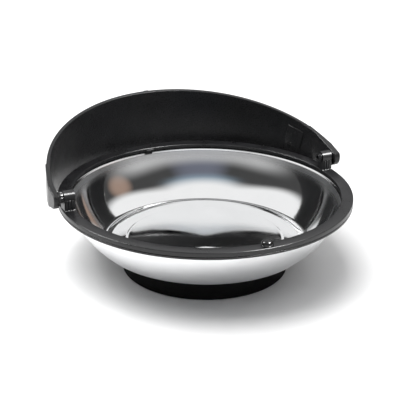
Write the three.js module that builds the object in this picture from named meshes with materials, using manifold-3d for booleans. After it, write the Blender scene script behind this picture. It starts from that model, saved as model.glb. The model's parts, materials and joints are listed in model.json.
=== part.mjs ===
// Magnetic parts tray with a swinging guard, in millimetres, +Z up.
// The origin is the centre of the base on the surface that the tray stands on.
// X runs along the guard's hinge axis and +Y points to the back, where the guard stands.

import * as THREE from 'three';
import { mergeVertices } from 'three/addons/utils/BufferGeometryUtils.js';
import Module from 'manifold-3d';

const wasm = await Module();
wasm.setup();

// ---------- driving dimensions ----------

const ROUND_STEPS = 60;           // facets around the tray
const SMALL_STEPS = 24;           // facets around pins, studs and washers
const GAP = 0.3;                  // space kept between neighbouring pieces
const INSIDE = 0.5;               // how far joined shapes sink into each other

// rim
const RIM_RADIUS = 75;
const RIM_INNER_RADIUS = 68.9;
const RIM_TOP = 40.75;
const RIM_BOTTOM = 37.1;
const RIM_CHAMFER = 0.25;
const RIM_SKIRT = 1.1;            // thickness of the rim's outer wall
const PARTING_HEIGHT = 38.2;      // where the clamp ring meets the rim ring
const CLAMP_PLATE = 0.4;
const CLAMP_INNER_RADIUS = 71.6;
const TAB_X = -3;                 // small moulded tab over the bowl's lip, at the back
const TAB_WIDTH = 4.6;
const TAB_REACH = 0.9;

// bowl
const SHEET = 0.8;
const LIP_TOP = 38.6;
const LIP_RADIUS = 73.5;
const WALL_TOP_RADIUS = 69.7;     // outside of the wall, level with the rim's bottom
const WALL_TOP_ANGLE = THREE.MathUtils.degToRad(71.7);
const WALL_ARC = 49;              // outer radius of the wall's long curve
const FOOT_ARC = 5;               // outer radius of the bend between wall and floor
const VALLEY_TOP = 14.4;          // lowest ring of the floor, at the foot of the wall
const LEDGE_RADIUS = 48.4;
const LEDGE_TOP = 14.85;
const PLATEAU_RADIUS = 39.6;
const PLATEAU_TOP = 15.45;
const CROWN = { radius: 12, slopeHeight: 1.2, height: 1.75 };  // the plateau rises to its middle
const STEP_WIDTH = 1.1;

// magnetic base
const BOOT_RADIUS = 42.8;
const BOOT_WALL = 2.5;
const BOOT_SOLE = 2.2;
const BOOT_EDGE = 0.8;
const SOLE_GROOVE = { radius: 30, width: 1.6, depth: 0.6 };
const POT_SHEET = 1;
const POT_DISH_TOP = 9;
const MAGNET_BORE = 8;
const STACK_TOP = 12.8;           // top of the pot's wall and of the magnet
const STUD_RADIUS = 2.5;
const STUD_FLANGE = 5;
const STUD_END = 2.7;
const NUT_ACROSS_FLATS = 8;
const NUT_BOTTOM = 2.5;
const NUT_HEIGHT = 2.7;
const LOCK_WASHER = { inner: 2.8, outer: 4.4, height: 0.9, cut: 0.8 };
const FLAT_WASHER = { inner: 2.8, outer: 5.5, height: 0.7 };

// hinge
const HINGE_Y = 4.76;
const HINGE_Z = 47.32;
const KNUCKLE_RADIUS = 3.2;
const POST_END = 74.4;            // outer end of the posts and knuckles
const POST_HALF_WIDTH = 2.8;
const POST_RIB = 0.35;
const PIN_RADIUS = 1.9;
const PIN_BORE = 1.1;
const PIN_SLOT = 0.8;
const PIN_BARB = 2.35;
const SNAP_TIP = 67.2;            // end of the right-hand snap pin, past the post
const PLAIN_TIP = 69.4;           // end of the left-hand pin, inside its post
const PIN_IN_EAR = 1.4;           // how deep a pin's root sits in the ear
const FLUTE_COUNT = 8;
const FLUTE_RADIUS = 0.45;
const COLLAR_RADIUS = 3;

// guard
const GUARD_RADIUS = 78.7;
const GUARD_WALL = 1.9;
const GUARD_SHIFT = -0.4;         // side play taken up towards -X
const UPPER_TILT = THREE.MathUtils.degToRad(14.47);
const UPPER_OFFSET = 3.65;
const LOWER_TILT = THREE.MathUtils.degToRad(-12.5);
const LOWER_OFFSET = -4.9;
const EAR_RADIUS = 5.1;
const EAR_LEFT = { inner: 76.8, outer: 79.8 };
const EAR_RIGHT = { inner: 75.1, outer: 78.7 };
const EAR_TAPER_END = 23;
const NUB = { width: 3, height: 2.6, proud: 0.7 };
const PANEL = { width: 11, height: 11, proud: 0.7, turn: 24, rise: 1, tilt: 12 };

// bumper
const BUMPER_X = -0.8;
const BUMPER_Y = -71.7;
const BUMPER_RADIUS = 3.1;
const BUMPER_HEIGHT = 2.7;
const BUMPER_STEM = 1.1;

// ---------- materials ----------

function finish(color, roughness, metalness) {
  return new THREE.MeshStandardMaterial({ color, roughness, metalness });
}

const stainless = finish(0xc9cbce, 0.18, 1);
const zincSteel = finish(0xa9abad, 0.38, 1);
const blackPlastic = finish(0x161718, 0.5, 0);
const guardPlastic = finish(0x111213, 0.62, 0);
const blackRubber = finish(0x0c0c0d, 0.78, 0);
const ferrite = finish(0x3a3a3c, 0.7, 0.1);
const foam = finish(0xdfe0dd, 0.95, 0);

// ---------- shape helpers ----------

function point(radius, height) {
  return new THREE.Vector2(radius, height);
}

// Points on an arc in the profile plane, both ends included, angles in radians.
function arc(centreRadius, centreHeight, radius, from, to, steps) {
  const points = [];
  for (let i = 0; i <= steps; i += 1) {
    const angle = from + (to - from) * i / steps;
    const across = centreRadius + radius * Math.cos(angle);
    points.push(point(across, centreHeight + radius * Math.sin(angle)));
  }
  return points;
}

// Solid of revolution about Z. The profile runs outwards along the bottom and back along the top.
function turned(profile, steps = ROUND_STEPS, closed = true) {
  const points = closed ? [...profile, profile[0].clone()] : profile;
  return new THREE.LatheGeometry(points, steps).rotateX(Math.PI / 2);
}

function turnedRing(inner, outer, bottom, top, steps = ROUND_STEPS) {
  const profile = [point(inner, bottom), point(outer, bottom), point(outer, top), point(inner, top)];
  return turned(profile, steps);
}

// Round bar along X between two X values, on the hinge axis.
function barAlongX(radius, fromX, toX, steps = SMALL_STEPS) {
  const length = Math.abs(toX - fromX);
  const bar = new THREE.CylinderGeometry(radius, radius, length, steps).rotateZ(Math.PI / 2);
  return bar.translate((fromX + toX) / 2, HINGE_Y, HINGE_Z);
}

function block(minimum, maximum) {
  const size = maximum.map((value, axis) => value - minimum[axis]);
  const box = new THREE.BoxGeometry(...size);
  return box.translate(...minimum.map((value, axis) => value + size[axis] / 2));
}

// ---------- booleans ----------

function toSolid(geometry) {
  const bare = geometry.clone();
  bare.deleteAttribute('normal');
  bare.deleteAttribute('uv');
  const merged = mergeVertices(bare, 1e-4);
  const corners = merged.index.array;
  const triangles = [];
  for (let i = 0; i < corners.length; i += 3) {
    const [a, b, c] = corners.slice(i, i + 3);
    if (a !== b && b !== c && c !== a) {
      triangles.push(a, b, c);
    }
  }
  return new wasm.Manifold(new wasm.Mesh({
    numProp: 3,
    vertProperties: new Float32Array(merged.attributes.position.array),
    triVerts: new Uint32Array(triangles),
  }));
}

function toGeometry(solid) {
  const mesh = solid.getMesh();
  const geometry = new THREE.BufferGeometry();
  geometry.setAttribute('position', new THREE.BufferAttribute(mesh.vertProperties, 3));
  geometry.setIndex(new THREE.BufferAttribute(mesh.triVerts, 1));
  geometry.computeVertexNormals();
  return geometry;
}

function join(...geometries) {
  return geometries.map(toSolid).reduce((whole, next) => whole.add(next));
}

function cut(solid, ...geometries) {
  return geometries.map(toSolid).reduce((whole, next) => whole.subtract(next), solid);
}

// ---------- bowl ----------

// Wall section: a long arc from under the rim, then a short one that runs out level at the valley.
function wallArcs(thickness) {
  const centre = point(
    WALL_TOP_RADIUS - WALL_ARC * Math.sin(WALL_TOP_ANGLE),
    RIM_BOTTOM + WALL_ARC * Math.cos(WALL_TOP_ANGLE),
  );
  const drop = centre.y - FOOT_ARC - (VALLEY_TOP - SHEET);
  const footAngle = Math.acos(drop / (WALL_ARC - FOOT_ARC));
  const footRadius = centre.x + (WALL_ARC - FOOT_ARC) * Math.sin(footAngle);
  const footHeight = centre.y - (WALL_ARC - FOOT_ARC) * Math.cos(footAngle);
  const down = Math.PI / 2;
  const foot = arc(footRadius, footHeight, FOOT_ARC - thickness, -down, footAngle - down, 3);
  const topAngle = WALL_TOP_ANGLE - down;
  const wall = arc(centre.x, centre.y, WALL_ARC - thickness, footAngle - down, topAngle, 6);
  return [...foot, ...wall.slice(1)];
}

function bowlGeometry() {
  const lipBottom = LIP_TOP - SHEET;
  const outside = [
    point(0, PLATEAU_TOP - SHEET + CROWN.height),
    point(CROWN.radius, PLATEAU_TOP - SHEET + CROWN.slopeHeight),
    point(PLATEAU_RADIUS + 0.3, PLATEAU_TOP - SHEET),
    point(PLATEAU_RADIUS + 0.3 + STEP_WIDTH, LEDGE_TOP - SHEET),
    point(LEDGE_RADIUS + 0.5, LEDGE_TOP - SHEET),
    ...wallArcs(0),
    point(WALL_TOP_RADIUS + 0.5, lipBottom),
    point(LIP_RADIUS, lipBottom),
  ];
  const inside = [
    point(LIP_RADIUS, LIP_TOP),
    point(WALL_TOP_RADIUS + 0.1, LIP_TOP),
    point(RIM_INNER_RADIUS + 0.4, LIP_TOP - 0.35),
    ...wallArcs(SHEET).reverse(),
    point(LEDGE_RADIUS, LEDGE_TOP),
    point(PLATEAU_RADIUS + STEP_WIDTH, LEDGE_TOP),
    point(PLATEAU_RADIUS, PLATEAU_TOP),
    point(CROWN.radius, PLATEAU_TOP + CROWN.slopeHeight),
    point(0, PLATEAU_TOP + CROWN.height),
  ];
  return turned([...outside, ...inside], ROUND_STEPS, false);
}

// ---------- rim ----------

// Post that carries one end of the hinge: a ribbed leg with a round knuckle on top.
function hingePost(side) {
  const innerX = side * RIM_INNER_RADIUS;
  const outerX = side * POST_END;
  const [lowX, highX] = [Math.min(innerX, outerX), Math.max(innerX, outerX)];
  const foot = RIM_TOP - INSIDE;
  const leg = block(
    [lowX, HINGE_Y - POST_HALF_WIDTH, foot],
    [highX, HINGE_Y + POST_HALF_WIDTH, HINGE_Z],
  );
  const knuckle = barAlongX(KNUCKLE_RADIUS, lowX, highX, 32);
  const ribs = [0.25, 0.5, 0.75].map((share) => {
    const ribX = lowX + (highX - lowX) * share;
    return block(
      [ribX - POST_RIB, HINGE_Y - POST_HALF_WIDTH - POST_RIB, foot],
      [ribX + POST_RIB, HINGE_Y, HINGE_Z - 1],
    );
  });
  return [leg, knuckle, ...ribs];
}

function rimRingGeometry() {
  const underside = LIP_TOP + GAP;
  const skirtBottom = PARTING_HEIGHT + GAP;
  const ring = turned([
    point(RIM_INNER_RADIUS, underside),
    point(RIM_RADIUS - RIM_SKIRT, underside),
    point(RIM_RADIUS - RIM_SKIRT, skirtBottom),
    point(RIM_RADIUS, skirtBottom),
    point(RIM_RADIUS, RIM_TOP - RIM_CHAMFER),
    point(RIM_RADIUS - RIM_CHAMFER, RIM_TOP),
    point(RIM_INNER_RADIUS + RIM_CHAMFER, RIM_TOP),
    point(RIM_INNER_RADIUS, RIM_TOP - RIM_CHAMFER),
  ]);
  const lipTab = block(
    [TAB_X - TAB_WIDTH / 2, RIM_INNER_RADIUS - TAB_REACH, underside],
    [TAB_X + TAB_WIDTH / 2, RIM_INNER_RADIUS + INSIDE, RIM_TOP - GAP],
  );
  const whole = join(ring, lipTab, ...hingePost(-1), ...hingePost(1));
  const pinHoles = [-1, 1].map((side) => {
    return barAlongX(PIN_RADIUS + GAP, side * (RIM_INNER_RADIUS - 1), side * (RIM_RADIUS + 1));
  });
  const stemHole = turnedRing(0, BUMPER_STEM + GAP, underside - 1, RIM_TOP + 1, SMALL_STEPS);
  stemHole.translate(BUMPER_X, BUMPER_Y, 0);
  return toGeometry(cut(whole, ...pinHoles, stemHole));
}

function rimClampRingGeometry() {
  const skirtInner = RIM_RADIUS - RIM_SKIRT;
  return turned([
    point(CLAMP_INNER_RADIUS, RIM_BOTTOM),
    point(RIM_RADIUS, RIM_BOTTOM),
    point(RIM_RADIUS, PARTING_HEIGHT),
    point(skirtInner, PARTING_HEIGHT),
    point(skirtInner, RIM_BOTTOM + CLAMP_PLATE),
    point(CLAMP_INNER_RADIUS, RIM_BOTTOM + CLAMP_PLATE),
  ]);
}

// Push-in bumper: a dome on a stem, which the closed guard comes down on.
function bumperGeometry() {
  const base = RIM_TOP + GAP;
  const edge = base + 0.5;
  const domeHeight = BUMPER_HEIGHT - 0.5;
  const crown = [0, 1, 2, 3, 4, 5].map((step) => {
    const angle = step * Math.PI / 10;
    return point(BUMPER_RADIUS * 0.93 * Math.cos(angle), edge + domeHeight * Math.sin(angle));
  });
  crown[5].x = 0;
  const profile = [
    point(0, LIP_TOP + 2 * GAP),
    point(BUMPER_STEM, LIP_TOP + 2 * GAP),
    point(BUMPER_STEM, base),
    point(BUMPER_RADIUS, base),
    point(BUMPER_RADIUS, edge),
    ...crown,
  ];
  return turned(profile, SMALL_STEPS, false).translate(BUMPER_X, BUMPER_Y, 0);
}

// ---------- magnetic base ----------

function bootGeometry() {
  const top = LEDGE_TOP - SHEET - GAP;
  const pocket = BOOT_RADIUS - BOOT_WALL;
  const grooveOuter = SOLE_GROOVE.radius + SOLE_GROOVE.width;
  return turned([
    point(0, 0),
    point(SOLE_GROOVE.radius, 0),
    point(SOLE_GROOVE.radius, SOLE_GROOVE.depth),
    point(grooveOuter, SOLE_GROOVE.depth),
    point(grooveOuter, 0),
    point(BOOT_RADIUS - BOOT_EDGE, 0),
    ...arc(BOOT_RADIUS - BOOT_EDGE, BOOT_EDGE, BOOT_EDGE, -Math.PI / 4, 0, 2),
    point(BOOT_RADIUS, top - BOOT_EDGE),
    point(BOOT_RADIUS - BOOT_EDGE, top),
    point(pocket, top),
    point(pocket, BOOT_SOLE),
    point(0, BOOT_SOLE),
  ], ROUND_STEPS, false);
}

const potRadius = BOOT_RADIUS - BOOT_WALL - GAP;
const potBottom = BOOT_SOLE + GAP;
const magnetRadius = potRadius - POT_SHEET - GAP;
const dishRadius = MAGNET_BORE - GAP;
const dishUnderside = POT_DISH_TOP - POT_SHEET;

// Steel pot around the magnet, with its middle pressed upwards to make room for the nut.
function potGeometry() {
  return turned([
    point(dishRadius - POT_SHEET, potBottom),
    point(potRadius, potBottom),
    point(potRadius, STACK_TOP),
    point(potRadius - POT_SHEET, STACK_TOP),
    point(potRadius - POT_SHEET, potBottom + POT_SHEET),
    point(dishRadius, potBottom + POT_SHEET),
    point(dishRadius, POT_DISH_TOP),
    point(STUD_RADIUS + GAP, POT_DISH_TOP),
    point(STUD_RADIUS + GAP, dishUnderside),
    point(dishRadius - POT_SHEET, dishUnderside),
  ]);
}

function magnetGeometry() {
  return turnedRing(MAGNET_BORE, magnetRadius, potBottom + POT_SHEET + GAP, STACK_TOP);
}

function padGeometry() {
  return turnedRing(MAGNET_BORE, magnetRadius, STACK_TOP + GAP, PLATEAU_TOP - SHEET - GAP);
}

// Height of the bowl's underside, near the middle.
function crownUnderside(radius) {
  const fall = (CROWN.height - CROWN.slopeHeight) * radius / CROWN.radius;
  return PLATEAU_TOP - SHEET + CROWN.height - fall;
}

function studGeometry() {
  const top = crownUnderside(STUD_FLANGE) - GAP;
  const neck = top - 1;
  return turned([
    point(0, STUD_END),
    point(STUD_RADIUS - 0.4, STUD_END),
    point(STUD_RADIUS, STUD_END + 0.4),
    point(STUD_RADIUS, neck),
    point(STUD_FLANGE, neck),
    point(STUD_FLANGE, top),
    point(0, top),
  ], SMALL_STEPS, false);
}

function nutGeometry() {
  const corner = NUT_ACROSS_FLATS / 2 / Math.cos(Math.PI / 6);
  const hexagon = new THREE.Shape();
  for (let i = 0; i < 6; i += 1) {
    const angle = i * Math.PI / 3;
    const place = [corner * Math.cos(angle), corner * Math.sin(angle)];
    if (i === 0) {
      hexagon.moveTo(...place);
    } else {
      hexagon.lineTo(...place);
    }
  }
  hexagon.closePath();
  hexagon.holes.push(new THREE.Path().absarc(0, 0, STUD_RADIUS + GAP, 0, Math.PI * 2, true));
  const settings = { depth: NUT_HEIGHT, bevelEnabled: false, curveSegments: SMALL_STEPS };
  return new THREE.ExtrudeGeometry(hexagon, settings).translate(0, 0, NUT_BOTTOM);
}

function lockWasherGeometry() {
  const bottom = NUT_BOTTOM + NUT_HEIGHT + GAP;
  const top = bottom + LOCK_WASHER.height;
  const ring = turnedRing(LOCK_WASHER.inner, LOCK_WASHER.outer, bottom, top, SMALL_STEPS);
  const slit = block(
    [0, -LOCK_WASHER.cut / 2, bottom - 1],
    [LOCK_WASHER.outer + 1, LOCK_WASHER.cut / 2, top + 1],
  );
  return toGeometry(cut(toSolid(ring), slit));
}

function flatWasherGeometry() {
  const top = dishUnderside - GAP;
  const bottom = top - FLAT_WASHER.height;
  return turnedRing(FLAT_WASHER.inner, FLAT_WASHER.outer, bottom, top, SMALL_STEPS);
}

// ---------- hinge ----------

// Left-hand pin: a plain hollow journal with a fluted collar that fills the gap beside the post.
function plainPinGeometry() {
  const root = -(EAR_LEFT.inner + PIN_IN_EAR) + GUARD_SHIFT;
  const collarFrom = -(EAR_LEFT.inner - GAP) + GUARD_SHIFT;
  const collarTo = -(POST_END + GAP);
  const shaft = barAlongX(PIN_RADIUS, root, -PLAIN_TIP);
  const collar = barAlongX(COLLAR_RADIUS, collarFrom, collarTo);
  const cuts = [barAlongX(PIN_BORE, -(PLAIN_TIP - 1), -(POST_END - 1), 12)];
  for (let i = 0; i < FLUTE_COUNT; i += 1) {
    const angle = (i + 0.5) * Math.PI * 2 / FLUTE_COUNT;
    const flute = barAlongX(FLUTE_RADIUS, collarFrom - 1, collarTo + 1, 8);
    flute.translate(0, COLLAR_RADIUS * Math.cos(angle), COLLAR_RADIUS * Math.sin(angle));
    cuts.push(flute);
  }
  return toGeometry(cut(join(shaft, collar), ...cuts));
}

// Right-hand pin: its split, hollow and barbed tip snaps through the post.
function snapPinGeometry() {
  const root = EAR_RIGHT.inner + PIN_IN_EAR + GUARD_SHIFT;
  const barbStart = RIM_INNER_RADIUS - GAP;
  const length = barbStart - SNAP_TIP;
  const shaft = barAlongX(PIN_RADIUS, root, SNAP_TIP + INSIDE);
  const barb = new THREE.CylinderGeometry(PIN_BARB, PIN_RADIUS - 0.2, length, SMALL_STEPS);
  barb.rotateZ(-Math.PI / 2).translate((barbStart + SNAP_TIP) / 2, HINGE_Y, HINGE_Z);
  const tipEnd = SNAP_TIP - 1;
  const boreEnd = POST_END - 1;
  const slotHalf = PIN_SLOT / 2;
  const bore = barAlongX(PIN_BORE, tipEnd, boreEnd, 12);
  const uprightSlot = block(
    [tipEnd, HINGE_Y - slotHalf, HINGE_Z - 5],
    [boreEnd, HINGE_Y + slotHalf, HINGE_Z + 5],
  );
  return toGeometry(cut(join(shaft, barb), bore, uprightSlot));
}

// ---------- guard ----------

// Half space on one side of a plane that holds the X direction, as a large block about the hinge.
function halfSpace(tilt, offset, keepsAbove) {
  const size = 200;
  const low = keepsAbove ? offset : offset - size;
  const high = keepsAbove ? offset + size : offset;
  const slab = block([-size, -size, low], [size, size, high]);
  return slab.rotateX(tilt);
}

// The ear seen from above: flat over the pin, then narrowing until it meets the guard's wall.
function earPlan(ear, side) {
  const outline = new THREE.Shape();
  outline.moveTo(ear.inner, -EAR_RADIUS);
  outline.lineTo(ear.outer, -EAR_RADIUS);
  outline.lineTo(ear.outer, EAR_RADIUS);
  outline.lineTo(Math.sqrt(GUARD_RADIUS ** 2 - EAR_TAPER_END ** 2), EAR_TAPER_END);
  outline.lineTo(Math.sqrt((GUARD_RADIUS - 1) ** 2 - EAR_TAPER_END ** 2), EAR_TAPER_END);
  outline.lineTo(ear.inner, EAR_RADIUS);
  outline.closePath();
  const depth = 4 * EAR_RADIUS;
  const plate = new THREE.ExtrudeGeometry(outline, { depth, bevelEnabled: false });
  plate.translate(0, 0, -depth / 2);
  return side > 0 ? plate : plate.rotateZ(Math.PI).rotateX(Math.PI);
}

// Blind hole in an ear for the root of its pin.
function earSocket(ear, side) {
  const length = PIN_IN_EAR + GAP + 1;
  const socket = new THREE.CylinderGeometry(PIN_RADIUS + GAP, PIN_RADIUS + GAP, length, SMALL_STEPS);
  return socket.rotateZ(Math.PI / 2).translate(side * (ear.inner - 1 + length / 2), 0, 0);
}

function guardGeometry() {
  const ball = (radius) => toSolid(new THREE.SphereGeometry(radius, 72, 44).rotateZ(Math.PI / 2));
  const above = toSolid(halfSpace(LOWER_TILT, LOWER_OFFSET, true));
  const below = toSolid(halfSpace(UPPER_TILT, UPPER_OFFSET, false));
  const behind = toSolid(block([-200, 0, -200], [200, 200, 200]));
  const band = above.intersect(behind);
  const shell = ball(GUARD_RADIUS).subtract(ball(GUARD_RADIUS - GUARD_WALL)).intersect(band);
  const lug = toSolid(new THREE.CylinderGeometry(EAR_RADIUS, EAR_RADIUS, 200, 32).rotateZ(Math.PI / 2));
  const earBand = band.add(lug);
  const ears = [[EAR_LEFT, -1], [EAR_RIGHT, 1]];
  let whole = shell;
  for (const [ear, side] of ears) {
    whole = whole.add(toSolid(earPlan(ear, side)).intersect(earBand));
  }
  whole = whole.intersect(below);

  const edgeAngle = UPPER_TILT + Math.asin(UPPER_OFFSET / GUARD_RADIUS);
  const nub = block(
    [-NUB.width / 2, GUARD_RADIUS - 1, -NUB.height],
    [NUB.width / 2, GUARD_RADIUS + NUB.proud, 0],
  ).rotateX(edgeAngle);
  const inner = GUARD_RADIUS - GUARD_WALL;
  const panel = block(
    [inner - PANEL.proud, -PANEL.width / 2, PANEL.rise - PANEL.height / 2],
    [inner + INSIDE, PANEL.width / 2, PANEL.rise + PANEL.height / 2],
  );
  panel.rotateX(THREE.MathUtils.degToRad(PANEL.tilt));
  panel.rotateZ(THREE.MathUtils.degToRad(PANEL.turn));
  whole = whole.add(toSolid(nub)).add(toSolid(panel));

  const sockets = ears.map(([ear, side]) => earSocket(ear, side));
  return toGeometry(cut(whole, ...sockets)).translate(GUARD_SHIFT, HINGE_Y, HINGE_Z);
}

// ---------- assembly ----------

function piece(name, geometry, material) {
  const mesh = new THREE.Mesh(geometry, material);
  mesh.name = name;
  return mesh;
}

const tray = new THREE.Group();
tray.add(
  piece('bowl', bowlGeometry(), stainless),
  piece('rim_ring', rimRingGeometry(), blackPlastic),
  piece('rim_clamp_ring', rimClampRingGeometry(), blackPlastic),
  piece('bumper', bumperGeometry(), blackRubber),
  piece('base_boot', bootGeometry(), blackRubber),
  piece('magnet_pot', potGeometry(), zincSteel),
  piece('magnet_ring', magnetGeometry(), ferrite),
  piece('bowl_pad', padGeometry(), foam),
  piece('weld_stud', studGeometry(), zincSteel),
  piece('flat_washer', flatWasherGeometry(), zincSteel),
  piece('lock_washer', lockWasherGeometry(), zincSteel),
  piece('stud_nut', nutGeometry(), zincSteel),
);

const swingingGuard = new THREE.Group();
swingingGuard.add(
  piece('guard', guardGeometry(), guardPlastic),
  piece('hinge_pin_left', plainPinGeometry(), blackPlastic),
  piece('hinge_pin_right', snapPinGeometry(), blackPlastic),
);

const assembly = new THREE.Group();
assembly.add(tray, swingingGuard);

export default assembly;
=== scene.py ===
"""Looks of the magnetic parts tray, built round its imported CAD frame. Lengths are in metres."""

import json
import math

import bmesh
import bpy
from mathutils import Matrix, Vector

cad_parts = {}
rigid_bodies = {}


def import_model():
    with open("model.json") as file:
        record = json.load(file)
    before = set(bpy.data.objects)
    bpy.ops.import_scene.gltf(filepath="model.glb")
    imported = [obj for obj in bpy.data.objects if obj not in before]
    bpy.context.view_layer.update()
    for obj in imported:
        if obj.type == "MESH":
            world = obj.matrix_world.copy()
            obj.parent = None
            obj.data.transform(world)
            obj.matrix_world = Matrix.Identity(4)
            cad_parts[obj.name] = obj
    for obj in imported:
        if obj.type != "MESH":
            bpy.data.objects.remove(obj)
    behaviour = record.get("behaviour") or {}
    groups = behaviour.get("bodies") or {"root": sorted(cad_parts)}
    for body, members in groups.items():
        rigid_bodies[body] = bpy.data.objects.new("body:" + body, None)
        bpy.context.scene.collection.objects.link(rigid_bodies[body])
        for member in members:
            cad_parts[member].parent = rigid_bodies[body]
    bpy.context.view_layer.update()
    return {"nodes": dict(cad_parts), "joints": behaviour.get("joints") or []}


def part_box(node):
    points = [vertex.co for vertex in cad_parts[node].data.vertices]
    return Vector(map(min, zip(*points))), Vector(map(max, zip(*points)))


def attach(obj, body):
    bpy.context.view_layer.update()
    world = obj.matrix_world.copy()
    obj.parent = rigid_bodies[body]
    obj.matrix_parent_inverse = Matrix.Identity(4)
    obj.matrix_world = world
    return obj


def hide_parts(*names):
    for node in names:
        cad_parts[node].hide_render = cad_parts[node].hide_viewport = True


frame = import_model()
MM = 0.001

# ---------- sizes taken from the frame ----------

HINGE = Vector(frame["joints"][0]["pos_m"])
RIM_LOW, RIM_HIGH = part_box("rim_ring")
CLAMP_LOW, CLAMP_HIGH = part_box("rim_clamp_ring")
BOWL_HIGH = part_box("bowl")[1]
BOOT_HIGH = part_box("base_boot")[1]
GUARD_LOW, GUARD_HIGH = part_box("guard")
BUMPER_LOW, BUMPER_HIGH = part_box("bumper")
LEFT_PIN_LOW, LEFT_PIN_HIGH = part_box("hinge_pin_left")
RIGHT_PIN_LOW, RIGHT_PIN_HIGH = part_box("hinge_pin_right")

RIM_RADIUS = RIM_HIGH.x
KNUCKLE_RADIUS = RIM_HIGH.z - HINGE.z
LIP_TOP = BOWL_HIGH.z
LIP_RADIUS = BOWL_HIGH.x

# ---------- sizes that the frame's boxes don't give ----------

RIM_TOP = 40.75 * MM
RIM_INNER_RADIUS = 68.9 * MM
SKIRT_INNER_RADIUS = RIM_RADIUS - 1.1 * MM
CLAMP_INNER_RADIUS = 71.6 * MM
CLAMP_PLATE = 0.4 * MM
SHEET = 0.8 * MM
TAB_X = -3.0 * MM
POST_END = 74.4 * MM
POST_BORE = 2.2 * MM

# guard, about the hinge point
GUARD_SHIFT = -0.4 * MM
GUARD_RADIUS = 78.7 * MM
GUARD_WALL = 1.9 * MM
EAR_INNER = {-1: 76.8 * MM, 1: 75.1 * MM}
EAR_OUTER = {-1: GUARD_SHIFT - GUARD_LOW.x, 1: GUARD_HIGH.x - GUARD_SHIFT}
EAR_RADIUS = 5.1 * MM
EAR_TAPER_END = 23.0 * MM
EAR_NOSE = 0.65 * MM
UPPER_TILT, UPPER_OFFSET = math.radians(14.47), 3.65 * MM
LOWER_TILT, LOWER_OFFSET = math.radians(-12.5), -4.9 * MM
PANEL_TURN = math.radians(24)
PANEL_TILT = math.radians(12)


# ---------- mesh helpers ----------

def new_object(name, bm, body, material, replaced=(), sharp=35.0):
    """Turns a bmesh into a smooth-shaded piece that rides on a body."""
    bmesh.ops.recalc_face_normals(bm, faces=bm.faces)
    mesh = bpy.data.meshes.new(name)
    bm.to_mesh(mesh)
    bm.free()
    mesh.shade_smooth()
    mesh.set_sharp_from_angle(angle=math.radians(sharp))
    piece = bpy.data.objects.new(name, mesh)
    bpy.context.scene.collection.objects.link(piece)
    piece.data.materials.append(material)
    if body:
        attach(piece, body)
    if replaced:
        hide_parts(*replaced)
    return piece


def rounded(corners, steps=5):
    """Points of a polyline (across, height, fillet) with each inner corner rounded to its fillet."""
    points = [Vector(corners[0][:2])]
    for before, corner, after in zip(corners, corners[1:], corners[2:]):
        here = Vector(corner[:2])
        to_before = (Vector(before[:2]) - here).normalized()
        to_after = (Vector(after[:2]) - here).normalized()
        half = to_before.angle(to_after) / 2
        if corner[2] <= 0 or half > math.radians(89):
            points.append(here)
            continue
        centre = here + (to_before + to_after).normalized() * (corner[2] / math.sin(half))
        start = here + to_before * (corner[2] / math.tan(half)) - centre
        end = here + to_after * (corner[2] / math.tan(half)) - centre
        turn = start.angle_signed(end)
        for i in range(steps + 1):
            swing = -turn * i / steps
            spoke = Matrix.Rotation(swing, 2) @ start
            points.append(centre + spoke)
    points.append(Vector(corners[-1][:2]))
    return points


def closed_rounded(corners, steps=5):
    """The same for a closed outline."""
    loop = [corners[-1], *corners, corners[0]]
    return rounded(loop, steps)[1:-1]


def arc_points(centre, radius, start, end, steps):
    """Points on an arc, angles in radians from the outward direction."""
    angles = [start + (end - start) * i / steps for i in range(steps + 1)]
    return [Vector((centre[0] + radius * math.cos(a), centre[1] + radius * math.sin(a))) for a in angles]


def revolved(points, steps, closed):
    """bmesh of a profile (radius, height) turned about Z. Points on the axis become one vertex."""
    bm = bmesh.new()
    rings = []
    for point in points:
        if point.x < 1e-7:
            rings.append([bm.verts.new((0, 0, point.y))] * steps)
            continue
        ring = []
        for i in range(steps):
            angle = 2 * math.pi * i / steps
            ring.append(bm.verts.new((point.x * math.cos(angle), point.x * math.sin(angle), point.y)))
        rings.append(ring)
    if closed:
        rings.append(rings[0])
    for low, high in zip(rings, rings[1:]):
        for i in range(steps):
            j = (i + 1) % steps
            corners = [low[i], low[j], high[j], high[i]]
            unique = list(dict.fromkeys(corners))
            if len(unique) > 2:
                bm.faces.new(unique)
    return bm


def bar_along_x(outline, start, end):
    """bmesh of a closed outline in the YZ plane, drawn out along X."""
    bm = bmesh.new()
    near = [bm.verts.new((start, p.x, p.y)) for p in outline]
    far = [bm.verts.new((end, p.x, p.y)) for p in outline]
    bm.faces.new(near)
    bm.faces.new(list(reversed(far)))
    for i in range(len(near)):
        j = (i + 1) % len(near)
        bm.faces.new([near[i], far[i], far[j], near[j]])
    return bm


def scratch(bm):
    """A temporary object for a boolean."""
    bmesh.ops.recalc_face_normals(bm, faces=bm.faces)
    mesh = bpy.data.meshes.new("scratch")
    bm.to_mesh(mesh)
    bm.free()
    piece = bpy.data.objects.new("scratch", mesh)
    bpy.context.scene.collection.objects.link(piece)
    return piece


def combined(base, others, operation):
    """bmesh of base joined with, or cut by, the other bmeshes."""
    target = scratch(base)
    tools = [scratch(other) for other in others]
    for tool in tools:
        modifier = target.modifiers.new("join", "BOOLEAN")
        modifier.operation = operation
        modifier.solver = "EXACT"
        modifier.object = tool
    depsgraph = bpy.context.evaluated_depsgraph_get()
    result = bmesh.new()
    result.from_mesh(target.evaluated_get(depsgraph).to_mesh())
    for piece in [target, *tools]:
        bpy.data.objects.remove(piece)
    bmesh.ops.remove_doubles(result, verts=result.verts, dist=1e-7)
    return result


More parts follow.
